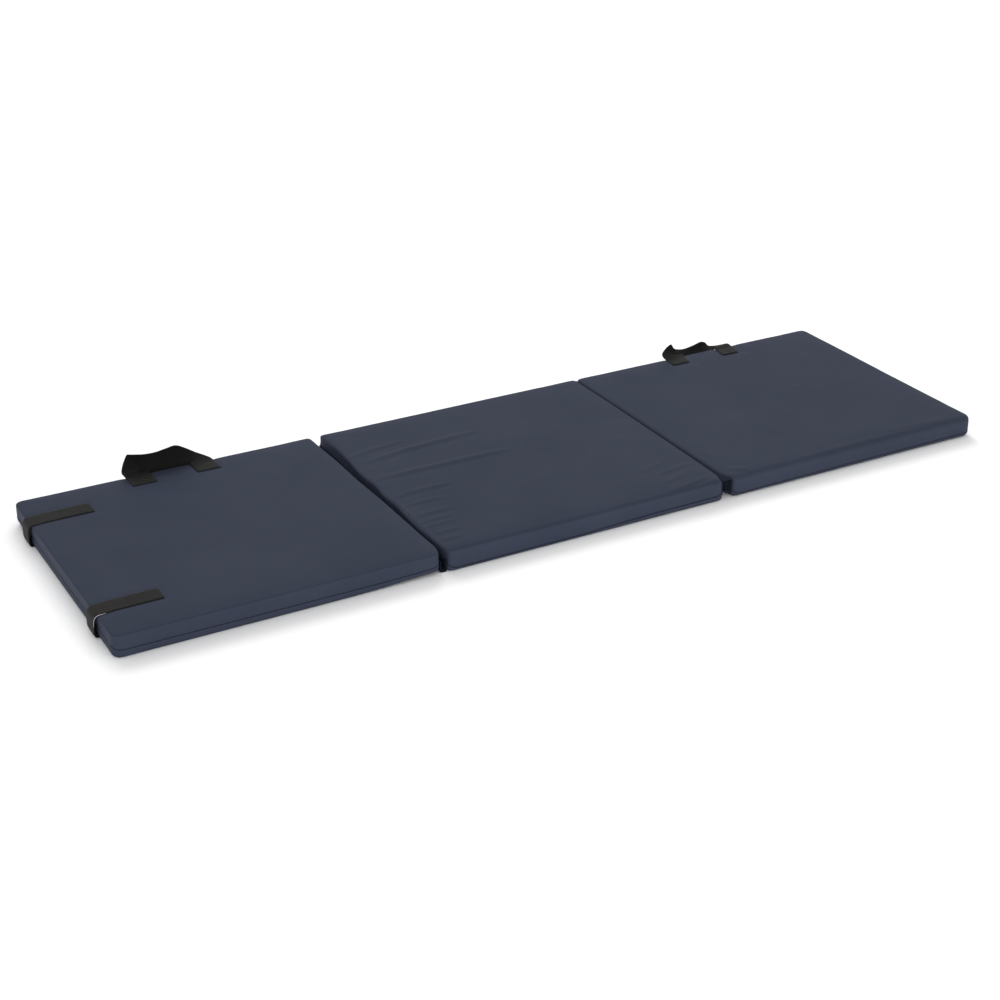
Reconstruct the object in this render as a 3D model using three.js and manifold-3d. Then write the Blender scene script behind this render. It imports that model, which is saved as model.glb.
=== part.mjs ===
// Folding gym mat: three foam pads in sewn vinyl covers, joined edge to edge by two fabric hinges.
// The left panel folds under the middle one and the right panel folds over it, a Z-fold, and two
// webbing straps with hook tape on their tips then hold the stack shut. A webbing handle is sewn
// to the back edge of each outer panel.
//
// Millimetres. X runs along the mat, +Y is the long edge with the handles, +Z is up.
// The origin is the centre of the middle panel's underside.

import * as THREE from 'three';
import { mergeVertices } from 'three/addons/utils/BufferGeometryUtils.js';
import Module from 'manifold-3d';

const wasm = await Module();
wasm.setup();

// ---- Driving dimensions ----
const MAT_LENGTH = 1800;
const MAT_WIDTH = 560;
const PAD_THICKNESS = 42;
const PANEL_GAP = 9;
const PANEL_LENGTH = (MAT_LENGTH - 2 * PANEL_GAP) / 3;
const PANEL_PITCH = PANEL_LENGTH + PANEL_GAP;
const CORNER_RADIUS = 15; // of the panel outline, seen from above
const EDGE_RADIUS = 8; // of the top and bottom edges
const SEAM_HEIGHT = 17; // where the top cover meets the base cover
const COVER_THICKNESS = 1.2; // the cover cloth with its turned seam allowance
const CLEARANCE = 0.3; // between pieces that lie against each other
const SEAM_SLIT = 0.3;

const HINGE_CLOTH = 0.8;
const HINGE_LENGTH = MAT_WIDTH - 2 * CORNER_RADIUS - 10;

const WEBBING = 1.6; // thickness of all the webbing
const HANDLE_SPAN = 174;
const HANDLE_WEBBING_WIDTH = 47;
const HANDLE_SEWN_LENGTH = 49;
const HANDLE_REACH = 40; // from the swing axis to the grip's outer edge
const HANDLE_GRIP_START = 14; // from the swing axis to the grip's inner edge
const HANDLE_CORNER = 10; // how far the folded corners slant in
const HANDLE_AXIS_OVERHANG = 4.5; // swing axis beyond the back edge
const HANDLE_AXIS_GAP = 4; // sewn end to swing axis
const HANDLES = {
  left: { offset: 3, angle: 80 },
  right: { offset: 15, angle: 10 }, // angle: grip above the horizontal, in degrees
};

const STRAP_WIDTH = 38;
const STRAP_PLACES = { front: -180, back: 186 };
const STRAP_SEWN_LENGTH = 112;
const STRAP_AXIS_INSET = 3; // peel axis inside the panel's end
const STRAP_AXIS_GAP = 2.5; // sewn end to peel axis
const STRAP_END_SLACK = 5; // loose webbing stands this far off the panel's end
const STRAP_BEND = 7.3; // radius of the webbing's bend at the top edge
const STRAP_KNUCKLE = 1.2; // each length of webbing stops this far from a bend line
const STRAP_FLOOR_GAP = 0.2;
const STRAP_WRAP_LENGTH = 95; // past the middle and right panels when the stack is strapped
const STRAP_TIP_LENGTH = 90;
const TAPE_THICKNESS = 1.2; // hook tape and loop tape
const TAPE_MARGIN = 3; // the tape is this much narrower than its strap on each side
const TAPE_LENGTH = 80;
const STRAP_CHANNEL_DEPTH = 3.8; // the soft underside gives way above the tucked strap
const STRAP_CHANNEL_MARGIN = 1.5;
const LOOP_PATCH_DEPTH = 1.6;
const LOOP_PATCH_START = 12; // from the right panel's hinge end

const ZIP_LENGTH = 520;
const ZIP_TAPE_HEIGHT = 11;
const ZIP_TAPE_THICKNESS = 0.8;
const ZIP_COIL_HEIGHT = 4.4;
const ZIP_COIL_THICKNESS = 1.4;
const SLIDER_LENGTH = 11;
const SLIDER_HEIGHT = 8.4;
const SLIDER_PLATE = 1.4;
const SLIDER_FLANGE = 1.6;
const SLIDER_TRAVEL = 500;

// ---- Materials ----
const cloth = (color, roughness) => new THREE.MeshStandardMaterial({ color, roughness, metalness: 0 });
const COVER_VINYL = cloth(0x2d3340, 0.55);
const HINGE_VINYL = cloth(0x20242e, 0.6);
const FOAM = cloth(0xd9d5c8, 0.95);
const BLACK_WEBBING = cloth(0x1f1d1b, 0.85);
const HOOK_TAPE = cloth(0x161616, 0.7);
const LOOP_TAPE = cloth(0x1b1b1c, 0.95);
const ZIP_TAPE = cloth(0x1a1d24, 0.8);
const SLIDER_METAL = new THREE.MeshStandardMaterial({ color: 0x2b2b2d, roughness: 0.4, metalness: 0.8 });

// ---- Solids ----
function solidFrom(geometry) {
  const bare = geometry.clone();
  bare.deleteAttribute('normal');
  bare.deleteAttribute('uv');
  const merged = mergeVertices(bare, 1e-4);
  const vertProperties = new Float32Array(merged.attributes.position.array);
  const triVerts = new Uint32Array(merged.index.array);
  return new wasm.Manifold(new wasm.Mesh({ numProp: 3, vertProperties, triVerts }));
}

function geometryFrom(solid) {
  const mesh = solid.getMesh();
  const geometry = new THREE.BufferGeometry();
  geometry.setAttribute('position', new THREE.BufferAttribute(mesh.vertProperties, 3));
  geometry.setIndex(new THREE.BufferAttribute(mesh.triVerts, 1));
  geometry.computeVertexNormals();
  return geometry;
}

// A block given by its low and high corners.
function block(low, high) {
  const size = high.map((value, axis) => value - low[axis]);
  const centre = high.map((value, axis) => (value + low[axis]) / 2);
  return new THREE.BoxGeometry(...size).translate(...centre);
}

// An outline in the XZ plane, drawn out along Y and centred on Y = 0.
function drawnAlongY(shape, width) {
  const geometry = new THREE.ExtrudeGeometry(shape, { depth: width, bevelEnabled: false, curveSegments: 6 });
  return geometry.rotateX(Math.PI / 2).translate(0, width / 2, 0);
}

// An outline in the YZ plane, drawn out along X and centred on X = 0.
function drawnAlongX(shape, length) {
  const geometry = new THREE.ExtrudeGeometry(shape, { depth: length, bevelEnabled: false });
  return geometry.rotateX(Math.PI / 2).rotateZ(Math.PI / 2).translate(-length / 2, 0, 0);
}

function polygon(points) {
  return new THREE.Shape(points.map(([x, y]) => new THREE.Vector2(x, y)));
}

function piece(name, geometry, material) {
  const mesh = new THREE.Mesh(geometry, material);
  mesh.name = name;
  return mesh;
}

// ---- Padded panel: foam core, top cover and base cover ----
// The pad's outer form, or the same form drawn in by an inset on every side.
function padForm(inset) {
  const edge = EDGE_RADIUS - inset;
  const halfX = PANEL_LENGTH / 2 - EDGE_RADIUS;
  const halfY = MAT_WIDTH / 2 - EDGE_RADIUS;
  const corner = CORNER_RADIUS - EDGE_RADIUS;
  const outline = new THREE.Shape();
  outline.moveTo(halfX - corner, -halfY);
  outline.absarc(halfX - corner, -halfY + corner, corner, -Math.PI / 2, 0);
  outline.absarc(halfX - corner, halfY - corner, corner, 0, Math.PI / 2);
  outline.absarc(-halfX + corner, halfY - corner, corner, Math.PI / 2, Math.PI);
  outline.absarc(-halfX + corner, -halfY + corner, corner, Math.PI, Math.PI * 1.5);
  const geometry = new THREE.ExtrudeGeometry(outline, {
    depth: PAD_THICKNESS - 2 * EDGE_RADIUS,
    bevelThickness: edge,
    bevelSize: edge,
    bevelSegments: 2,
    curveSegments: 3,
  });
  return solidFrom(geometry.translate(0, 0, EDGE_RADIUS));
}

// The hollows that the pad's underside keeps for straps or tape, grown by a margin.
function cutHollows(solid, hollows, margin) {
  let result = solid;
  for (const { low, high, depth } of hollows) {
    const bottom = [low[0] - margin, low[1] - margin, -1];
    const top = [high[0] + margin, high[1] + margin, depth + margin];
    result = result.subtract(solidFrom(block(bottom, top)));
  }
  return result;
}

function panel(side, hollows) {
  const outer = cutHollows(padForm(0), hollows, 0);
  const inner = cutHollows(padForm(COVER_THICKNESS), hollows, COVER_THICKNESS);
  const shell = outer.subtract(inner);
  const reach = MAT_LENGTH;
  const slit = SEAM_SLIT / 2;
  const aboveSeam = solidFrom(block([-reach, -reach, SEAM_HEIGHT + slit], [reach, reach, reach]));
  const belowSeam = solidFrom(block([-reach, -reach, -reach], [reach, reach, SEAM_HEIGHT - slit]));
  const coreInset = COVER_THICKNESS + CLEARANCE;
  const core = cutHollows(padForm(coreInset), hollows, coreInset);
  const group = new THREE.Group();
  group.add(piece(`${side}_foam_core`, geometryFrom(core), FOAM));
  group.add(piece(`${side}_top_cover`, geometryFrom(shell.intersect(aboveSeam)), COVER_VINYL));
  group.add(piece(`${side}_base_cover`, geometryFrom(shell.intersect(belowSeam)), COVER_VINYL));
  return group;
}

// ---- Zip along the seam of the back edge, with a slider that has no pull tab ----
function zip(side) {
  const face = MAT_WIDTH / 2 + CLEARANCE;
  const tapeTop = face + ZIP_TAPE_THICKNESS;
  const coilTop = face + ZIP_COIL_THICKNESS;
  const halfTape = ZIP_TAPE_HEIGHT / 2;
  const halfCoil = ZIP_COIL_HEIGHT / 2;
  const chain = polygon([
    [face, -halfTape], [tapeTop, -halfTape], [tapeTop, -halfCoil], [coilTop, -halfCoil],
    [coilTop, halfCoil], [tapeTop, halfCoil], [tapeTop, halfTape], [face, halfTape],
  ]);
  const flangeFoot = tapeTop + CLEARANCE;
  const plateFoot = coilTop + CLEARANCE;
  const plateTop = plateFoot + SLIDER_PLATE;
  const halfSlider = SLIDER_HEIGHT / 2;
  const halfThroat = halfSlider - SLIDER_FLANGE;
  const channel = polygon([
    [flangeFoot, -halfSlider], [plateTop, -halfSlider], [plateTop, halfSlider], [flangeFoot, halfSlider],
    [flangeFoot, halfThroat], [plateFoot, halfThroat], [plateFoot, -halfThroat], [flangeFoot, -halfThroat],
  ]);
  const slider = drawnAlongX(channel, SLIDER_LENGTH).translate(-SLIDER_TRAVEL / 2, 0, 0);
  const group = new THREE.Group();
  group.position.z = SEAM_HEIGHT;
  group.add(piece(`${side}_zip_chain`, drawnAlongX(chain, ZIP_LENGTH), ZIP_TAPE));
  group.add(piece(`${side}_zip_slider`, slider, SLIDER_METAL));
  return group;
}

// ---- Fabric hinge: a trough of cover cloth hung in the gap between two panels ----
// It is sewn to the seams on both sides; its web lies level with the face that the mat folds on.
function hingeStrip(name, webHeight, x) {
  const outerX = PANEL_GAP / 2 - CLEARANCE;
  const innerX = outerX - HINGE_CLOTH;
  const innerZ = webHeight + Math.sign(SEAM_HEIGHT - webHeight) * HINGE_CLOTH;
  const rim = SEAM_HEIGHT;
  const outline = polygon([
    [-outerX, webHeight], [outerX, webHeight], [outerX, rim], [innerX, rim],
    [innerX, innerZ], [-innerX, innerZ], [-innerX, rim], [-outerX, rim],
  ]);
  return piece(name, drawnAlongY(outline, HINGE_LENGTH).translate(x, 0, 0), HINGE_VINYL);
}

// ---- Carry handle: two sewn ends on the panel's back edge and a loop that swings between them ----
function handle(side, { offset, angle }) {
  const axisY = MAT_WIDTH / 2 + HANDLE_AXIS_OVERHANG;
  const webbingFoot = PAD_THICKNESS + CLEARANCE;
  const sewnFar = axisY - HANDLE_AXIS_GAP;
  const half = HANDLE_SPAN / 2;
  const inner = half - HANDLE_WEBBING_WIDTH;
  const group = new THREE.Group();
  group.position.x = offset;
  for (const [end, direction] of [['left', -1], ['right', 1]]) {
    const xs = [direction * inner, direction * half].sort((a, b) => a - b);
    const low = [xs[0], sewnFar - HANDLE_SEWN_LENGTH, webbingFoot];
    const high = [xs[1], sewnFar, webbingFoot + WEBBING];
    group.add(piece(`${side}_handle_sewn_end_${end}`, block(low, high), BLACK_WEBBING));
  }
  const start = STRAP_KNUCKLE;
  const shoulder = half - HANDLE_CORNER;
  const outline = polygon([
    [-half, start], [-inner, start], [-inner, HANDLE_GRIP_START], [inner, HANDLE_GRIP_START],
    [inner, start], [half, start], [shoulder, HANDLE_REACH], [-shoulder, HANDLE_REACH],
  ]);
  const geometry = new THREE.ExtrudeGeometry(outline, { depth: WEBBING, bevelEnabled: false });
  const loop = piece(`${side}_handle_loop`, geometry.translate(0, 0, -WEBBING / 2), BLACK_WEBBING);
  loop.position.set(0, axisY, webbingFoot + WEBBING / 2);
  loop.rotation.x = THREE.MathUtils.degToRad(angle);
  group.add(loop);
  return group;
}

// ---- Closing strap: sewn on top, round the end of the left panel and tucked under it ----
const STRAP_X = -PANEL_LENGTH / 2 - STRAP_END_SLACK - WEBBING / 2; // webbing's middle, beside the end
const STRAP_Z = STRAP_FLOOR_GAP + WEBBING / 2; // webbing's middle, under the panel
const STRAP_TIP_X = STRAP_X + STRAP_WRAP_LENGTH;
const STRAP_AXIS_X = -PANEL_LENGTH / 2 + STRAP_AXIS_INSET;

// The length beside the panel's end: level at first, then bent down through a quarter circle.
function strapSide() {
  const topZ = PAD_THICKNESS + CLEARANCE + WEBBING;
  const bendX = STRAP_X + STRAP_BEND;
  const bendZ = topZ - WEBBING / 2 - STRAP_BEND;
  const outer = STRAP_BEND + WEBBING / 2;
  const inner = STRAP_BEND - WEBBING / 2;
  const startX = STRAP_AXIS_X - STRAP_KNUCKLE;
  const footZ = STRAP_Z + STRAP_KNUCKLE;
  const outline = new THREE.Shape();
  outline.moveTo(startX, topZ);
  outline.lineTo(bendX, topZ);
  outline.absarc(bendX, bendZ, outer, Math.PI / 2, Math.PI);
  outline.lineTo(bendX - outer, footZ);
  outline.lineTo(bendX - inner, footZ);
  outline.absarc(bendX, bendZ, inner, Math.PI, Math.PI / 2, true);
  outline.lineTo(startX, topZ - WEBBING);
  return drawnAlongY(outline, STRAP_WIDTH);
}

function strap(place, y) {
  const half = STRAP_WIDTH / 2;
  const halfTape = half - TAPE_MARGIN;
  const sewnX = STRAP_AXIS_X + STRAP_AXIS_GAP;
  const sewnZ = PAD_THICKNESS + CLEARANCE;
  const lowZ = STRAP_FLOOR_GAP;
  const highZ = lowZ + WEBBING;
  const tapeZ = highZ + CLEARANCE;
  const wrapLow = [STRAP_X + STRAP_KNUCKLE, -half, lowZ];
  const wrapHigh = [STRAP_TIP_X - STRAP_KNUCKLE, half, highZ];
  const tipLow = [STRAP_TIP_X + STRAP_KNUCKLE, -half, lowZ];
  const tipHigh = [STRAP_TIP_X + STRAP_TIP_LENGTH, half, highZ];
  const tapeLow = [tipHigh[0] - TAPE_MARGIN - TAPE_LENGTH, -halfTape, tapeZ];
  const tapeHigh = [tipHigh[0] - TAPE_MARGIN, halfTape, tapeZ + TAPE_THICKNESS];
  const sewn = block([sewnX, -half, sewnZ], [sewnX + STRAP_SEWN_LENGTH, half, sewnZ + WEBBING]);
  const group = new THREE.Group();
  group.position.y = y;
  group.add(piece(`${place}_strap_sewn_end`, sewn, BLACK_WEBBING));
  group.add(piece(`${place}_strap_side`, strapSide(), BLACK_WEBBING));
  group.add(piece(`${place}_strap_wrap`, block(wrapLow, wrapHigh), BLACK_WEBBING));
  group.add(piece(`${place}_strap_tip`, block(tipLow, tipHigh), BLACK_WEBBING));
  group.add(piece(`${place}_hook_tape`, block(tapeLow, tapeHigh), HOOK_TAPE));
  return group;
}

function strapChannel(y) {
  const reachY = STRAP_WIDTH / 2 + STRAP_CHANNEL_MARGIN;
  const farX = STRAP_TIP_X + STRAP_TIP_LENGTH + STRAP_CHANNEL_MARGIN;
  return { low: [-PANEL_LENGTH, y - reachY], high: [farX, y + reachY], depth: STRAP_CHANNEL_DEPTH };
}

// ---- Loop tape under the right panel, where the strap tips close on the folded stack ----
const LOOP_PATCH_X = -PANEL_LENGTH / 2 + LOOP_PATCH_START;
const LOOP_PATCH_LENGTH = STRAP_TIP_LENGTH - TAPE_MARGIN;

function loopPatch(place, y) {
  const half = STRAP_WIDTH / 2;
  const high = [LOOP_PATCH_X + LOOP_PATCH_LENGTH, y + half, STRAP_FLOOR_GAP / 2 + TAPE_THICKNESS];
  const geometry = block([LOOP_PATCH_X, y - half, STRAP_FLOOR_GAP / 2], high);
  return piece(`${place}_loop_patch`, geometry, LOOP_TAPE);
}

function loopHollow(y) {
  const reachY = STRAP_WIDTH / 2 + CLEARANCE;
  const low = [LOOP_PATCH_X - CLEARANCE, y - reachY];
  const high = [LOOP_PATCH_X + LOOP_PATCH_LENGTH + CLEARANCE, y + reachY];
  return { low, high, depth: LOOP_PATCH_DEPTH };
}

// ---- The mat ----
const mat = new THREE.Group();

const leftPanel = panel('left', Object.values(STRAP_PLACES).map(strapChannel));
leftPanel.position.x = -PANEL_PITCH;
leftPanel.add(zip('left'));
leftPanel.add(handle('left', HANDLES.left));
for (const [place, y] of Object.entries(STRAP_PLACES)) {
  leftPanel.add(strap(place, y));
}
mat.add(leftPanel);

const middlePanel = panel('middle', []);
middlePanel.add(zip('middle'));
mat.add(middlePanel);

const rightPanel = panel('right', Object.values(STRAP_PLACES).map(loopHollow));
rightPanel.position.x = PANEL_PITCH;
rightPanel.add(zip('right'));
rightPanel.add(handle('right', HANDLES.right));
for (const [place, y] of Object.entries(STRAP_PLACES)) {
  rightPanel.add(loopPatch(place, y));
}
mat.add(rightPanel);

mat.add(hingeStrip('left_hinge_strip', STRAP_FLOOR_GAP, -PANEL_PITCH / 2));
mat.add(hingeStrip('right_hinge_strip', PAD_THICKNESS - STRAP_FLOOR_GAP, PANEL_PITCH / 2));

export default mat;
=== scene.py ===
"""Folding gym mat: the looks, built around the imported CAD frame. Metres, row frame."""
import math

import bpy
import numpy as np
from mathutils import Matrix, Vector
from mathutils.bvhtree import BVHTree


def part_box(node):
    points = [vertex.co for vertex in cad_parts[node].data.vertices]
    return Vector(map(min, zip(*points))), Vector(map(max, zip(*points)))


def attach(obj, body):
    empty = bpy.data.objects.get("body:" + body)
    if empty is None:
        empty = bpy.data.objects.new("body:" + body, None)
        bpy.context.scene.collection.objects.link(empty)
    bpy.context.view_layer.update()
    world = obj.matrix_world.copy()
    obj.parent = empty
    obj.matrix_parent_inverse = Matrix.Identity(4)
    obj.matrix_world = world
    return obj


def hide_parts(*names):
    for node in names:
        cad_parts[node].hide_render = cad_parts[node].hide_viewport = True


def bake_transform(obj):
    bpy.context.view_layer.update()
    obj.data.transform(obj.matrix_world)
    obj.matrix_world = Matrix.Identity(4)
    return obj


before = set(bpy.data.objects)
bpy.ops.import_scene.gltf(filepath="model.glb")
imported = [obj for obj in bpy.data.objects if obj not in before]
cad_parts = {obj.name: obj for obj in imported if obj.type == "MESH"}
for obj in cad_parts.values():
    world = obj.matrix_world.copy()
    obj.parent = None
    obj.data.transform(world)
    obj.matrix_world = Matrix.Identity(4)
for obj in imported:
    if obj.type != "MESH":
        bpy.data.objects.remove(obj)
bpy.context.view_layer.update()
MM = 0.001
SCENE = bpy.context.scene

# ---- Camera: the photograph's viewing angle ----
CAMERA_PLACE = (-1.6218, -2.8528, 1.5754)
CAMERA_PITCH = 0.46  # below the horizon, in radians
CAMERA_YAW = -0.5075  # radians
CAMERA_LENS = 67.77  # millimetres, on a sensor SENSOR_WIDTH wide
SENSOR_WIDTH = 36
CAMERA_REACH = 60  # how far the camera sees, in metres

# ---- Sizes ----
SIDES = ("left", "middle", "right")
PLACES = ("front", "back")
PAD_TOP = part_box("middle_top_cover")[1].z
CLOTH = 1.0 * MM  # thickness of the cover
WEBBING = 1.6 * MM  # thickness of the straps and handles
WEBBING_LIFT = 0.9 * MM  # sewn webbing's middle above the cover under it
STITCH_LIFT = 1.85 * MM  # its stitches above the cover
PALE_LINE_RADIUS = 0.55 * MM  # radius of the pale line along the front strap's selvedge


# ------------------------------------------------------------------ mesh helpers
def make_object(name, verts, faces, material, smooth=True):
    mesh = bpy.data.meshes.new(name)
    mesh.from_pydata([tuple(v) for v in verts], [], faces)
    mesh.validate()
    mesh.update()
    if smooth:
        mesh.polygons.foreach_set("use_smooth", [True] * len(mesh.polygons))
    obj = bpy.data.objects.new(name, mesh)
    SCENE.collection.objects.link(obj)
    if material:
        mesh.materials.append(material)
    return obj


def coords(mesh):
    flat = np.empty(len(mesh.vertices) * 3)
    mesh.vertices.foreach_get("co", flat)
    return flat.reshape(-1, 3)


def set_coords(mesh, points):
    mesh.vertices.foreach_set("co", np.asarray(points, np.float32).ravel())
    mesh.update()


def normals(mesh):
    flat = np.empty(len(mesh.vertices) * 3)
    mesh.vertex_normals.foreach_get("vector", flat)
    return flat.reshape(-1, 3)


def apply_modifiers(obj):
    graph = bpy.context.evaluated_depsgraph_get()
    final = bpy.data.meshes.new_from_object(obj.evaluated_get(graph))
    old = obj.data
    obj.modifiers.clear()
    obj.data = final
    bpy.data.meshes.remove(old)
    final.name = obj.name
    return obj


def smooth_path(points, per_span):
    """A Catmull-Rom curve through the points, with per_span steps between each two."""
    p = np.asarray(points, float)
    ends = np.vstack([2 * p[0] - p[1], p, 2 * p[-1] - p[-2]])
    t = np.linspace(0, 1, per_span, endpoint=False)[:, None]
    spans = []
    for a, b, c, d in zip(ends[:-3], ends[1:-2], ends[2:-1], ends[3:]):
        spans.append(0.5 * (2 * b + (c - a) * t + (2 * a - 5 * b + 4 * c - d) * t**2
                            + (3 * b - a - 3 * c + d) * t**3))
    return np.vstack([*spans, p[-1:]])


# ------------------------------------------------------------------ materials
class Nodes:
    """A short way to write a node material."""

    def __init__(self, name):
        self.material = bpy.data.materials.new(name)
        self.material.use_nodes = True
        self.tree = self.material.node_tree
        self.shader = self.tree.nodes["Principled BSDF"]

    def add(self, kind, inputs=(), **settings):
        node = self.tree.nodes.new(kind)
        for key, value in settings.items():
            setattr(node, key, value)
        for key, value in dict(inputs).items():
            if isinstance(value, bpy.types.NodeSocket):
                self.tree.links.new(value, node.inputs[key])
            else:
                node.inputs[key].default_value = value
        return node

    def set(self, **values):
        for key, value in values.items():
            self.shader.inputs[key.replace("_", " ")].default_value = value

    def link(self, socket, key):
        self.tree.links.new(socket, self.shader.inputs[key])

    def math(self, operation, a, b=0.0):
        return self.add("ShaderNodeMath", {0: a, 1: b}, operation=operation).outputs[0]

    def place(self):
        return self.add("ShaderNodeTexCoord").outputs["Object"]

    def noise(self, vector, scale, detail=3.0, roughness=0.5):
        inputs = {"Vector": vector, "Scale": scale, "Detail": detail, "Roughness": roughness}
        return self.add("ShaderNodeTexNoise", inputs).outputs["Fac"]

    def cells(self, vector, scale, smooth=0.4):
        inputs = {"Vector": vector, "Scale": scale, "Smoothness": smooth}
        return self.add("ShaderNodeTexVoronoi", inputs, feature="SMOOTH_F1").outputs["Distance"]

    def ramp(self, value, low, high, from_low=0.3, from_high=0.7):
        inputs = {"Value": value, "From Min": from_low, "From Max": from_high, "To Min": low, "To Max": high}
        return self.add("ShaderNodeMapRange", inputs).outputs["Result"]

    def mix(self, factor, a, b):
        node = self.add("ShaderNodeMix", data_type="RGBA")
        self.tree.links.new(factor, node.inputs["Factor"])
        node.inputs[6].default_value = (*a, 1)
        node.inputs[7].default_value = (*b, 1)
        return node.outputs[2]

    def bump(self, height, distance, strength=1.0, normal=None):
        inputs = {"Height": height, "Distance": distance, "Strength": strength}
        if normal is not None:
            inputs["Normal"] = normal
        return self.add("ShaderNodeBump", inputs).outputs["Normal"]


SIDE_PAINTED_LIGHT = 1.32  # painted light: how much lighter the vinyl is painted on the pads' sides than on their faces, for the light the sides catch


def vinyl(name, dark, light, roughness, wear, gloss=0.03):
    """Vinyl-coated cloth: a fine embossed grain over a faint weave, soft rubbing in the colour, and painted
    light that makes the sides lighter.
    """
    n = Nodes(name)
    here = n.place()
    broad = n.noise(here, 7.0, 2.0)
    rubbed = n.noise(here, 60.0, 4.0, 0.6)
    tone = n.math("ADD", n.math("MULTIPLY", broad, 0.7), n.math("MULTIPLY", rubbed, 0.3))
    # Painted light: faces turned sideways are painted lighter, standing in for the light that the sides
    # catch.
    facing = n.add("ShaderNodeSeparateXYZ",
                   {"Vector": n.add("ShaderNodeTexCoord").outputs["Normal"]}).outputs["Z"]
    painted_side_light = n.ramp(n.math("ABSOLUTE", facing), SIDE_PAINTED_LIGHT, 1.0, 0.35, 0.9)
    colour = n.mix(n.ramp(tone, 0.0, 1.0, 0.38, 0.62), dark, light)
    scaled = n.add("ShaderNodeVectorMath", {0: colour, "Scale": painted_side_light}, operation="SCALE")
    n.link(scaled.outputs[0], "Base Color")
    n.link(n.ramp(rubbed, roughness - wear, roughness + wear), "Roughness")
    grain = n.bump(n.cells(here, 900.0), 0.00012, 0.55)
    n.link(n.bump(n.noise(here, 320.0, 3.0), 0.00016, 0.45, grain), "Normal")
    n.set(IOR=1.47)
    n.set(Specular_IOR_Level=gloss)
    return n.material


def webbing(name, dark, light):
    """Woven polypropylene webbing: warp and weft as raised checks along the strap's own length."""
    n = Nodes(name)
    weave = n.add("ShaderNodeAttribute", attribute_name="weave").outputs["Vector"]
    split = n.add("ShaderNodeSeparateXYZ", {"Vector": weave})
    along = n.math("SINE", n.math("MULTIPLY", split.outputs["X"], 2 * math.pi / 0.0024))
    across = n.math("SINE", n.math("MULTIPLY", split.outputs["Y"], 2 * math.pi / 0.0021))
    checks = n.math("MULTIPLY", along, across)
    fibres = n.noise(n.place(), 1400.0, 2.0)
    height = n.math("ADD", n.math("MULTIPLY", checks, 0.5), n.math("MULTIPLY", fibres, 0.5))
    dusty = n.noise(n.place(), 90.0, 3.0)
    tone = n.math("ADD", n.math("MULTIPLY", n.ramp(checks, 0.0, 1.0, -1.0, 1.0), 0.6),
                  n.math("MULTIPLY", dusty, 0.4))
    n.link(n.mix(n.ramp(tone, 0.0, 1.0, 0.2, 0.8), dark, light), "Base Color")
    n.link(n.bump(height, 0.00035, 0.8), "Normal")
    n.set(Roughness=0.7)
    n.set(Specular_IOR_Level=0.22)
    n.set(Sheen_Weight=0.02)
    n.set(Sheen_Roughness=0.5)
    return n.material


def foam_material():
    n = Nodes("open_cell_foam")
    here = n.place()
    pores = n.cells(here, 650.0, 0.2)
    n.link(n.mix(n.ramp(pores, 0.0, 1.0, 0.1, 0.6), (0.42, 0.38, 0.28), (0.80, 0.77, 0.66)), "Base Color")
    n.link(n.bump(pores, 0.0008, 0.9), "Normal")
    n.set(Roughness=0.95)
    return n.material


def fuzzy(name, dark, light, scale, depth):
    n = Nodes(name)
    here = n.place()
    pile = n.noise(here, scale, 4.0, 0.7)
    n.link(n.mix(n.ramp(pile, 0.0, 1.0), dark, light), "Base Color")
    n.link(n.bump(pile, depth, 1.0), "Normal")
    n.set(Roughness=0.9)
    n.set(Sheen_Weight=0.25)
    return n.material


def lacquered_zinc():
    n = Nodes("lacquered_zinc")
    here = n.place()
    scuffs = n.noise(here, 500.0, 4.0, 0.7)
    n.link(n.mix(n.ramp(scuffs, 0.0, 1.0, 0.45, 0.75), (0.02, 0.02, 0.022), (0.16, 0.16, 0.17)), "Base Color")
    n.link(n.ramp(scuffs, 0.3, 0.5), "Roughness")
    n.link(n.bump(scuffs, 0.00004, 0.6), "Normal")
    n.set(Metallic=0.85)
    return n.material


def thread_material(name, dark, light):
    n = Nodes(name)
    twist = n.noise(n.place(), 2500.0, 2.0)
    n.link(n.mix(n.ramp(twist, 0.0, 1.0), dark, light), "Base Color")
    n.link(n.bump(twist, 0.0001, 0.8), "Normal")
    n.set(Roughness=0.6)
    return n.material


def floor_material():
    n = Nodes("pale_floor")
    cloud = n.noise(n.place(), 1.5, 2.0)
    n.link(n.mix(cloud, (0.93, 0.93, 0.935), (0.95, 0.95, 0.95)), "Base Color")
    n.set(Roughness=0.9)
    n.set(Specular_IOR_Level=0.1)
    return n.material


NAVY = vinyl("navy_vinyl", (0.0309, 0.0368, 0.0566), (0.0344, 0.0404, 0.0613), 0.50, 0.04)
# Painted shade: the hinge cloth's vinyl is painted darker than the cover's, for the shade in the hinge gaps.
SHADED_HINGE_NAVY = vinyl("hinge_vinyl", (0.012, 0.014, 0.022), (0.018, 0.021, 0.032), 0.65, 0.05, gloss=0.01)
BLACK_WEBBING = webbing("black_webbing", (0.003, 0.0027, 0.0025), (0.012, 0.0108, 0.0098))
ZIP_TAPE = webbing("zip_tape", (0.010, 0.012, 0.018), (0.028, 0.032, 0.044))
ZIP_COIL = fuzzy("zip_coil", (0.010, 0.012, 0.016), (0.030, 0.034, 0.042), 900.0, 0.00005)
HOOKS = fuzzy("hook_tape", (0.006, 0.006, 0.006), (0.040, 0.040, 0.040), 1600.0, 0.0007)
LOOPS = fuzzy("loop_tape", (0.008, 0.008, 0.009), (0.035, 0.035, 0.037), 700.0, 0.0009)
FOAM = foam_material()
ZINC = lacquered_zinc()
THREAD = thread_material("sewing_thread", (0.012, 0.012, 0.014), (0.05, 0.05, 0.055))
# A pale grey line along the front strap's selvedge.
PALE_LINE_MATERIAL = thread_material("pale_selvedge_line", (0.40, 0.38, 0.44), (0.62, 0.60, 0.66))


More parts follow.
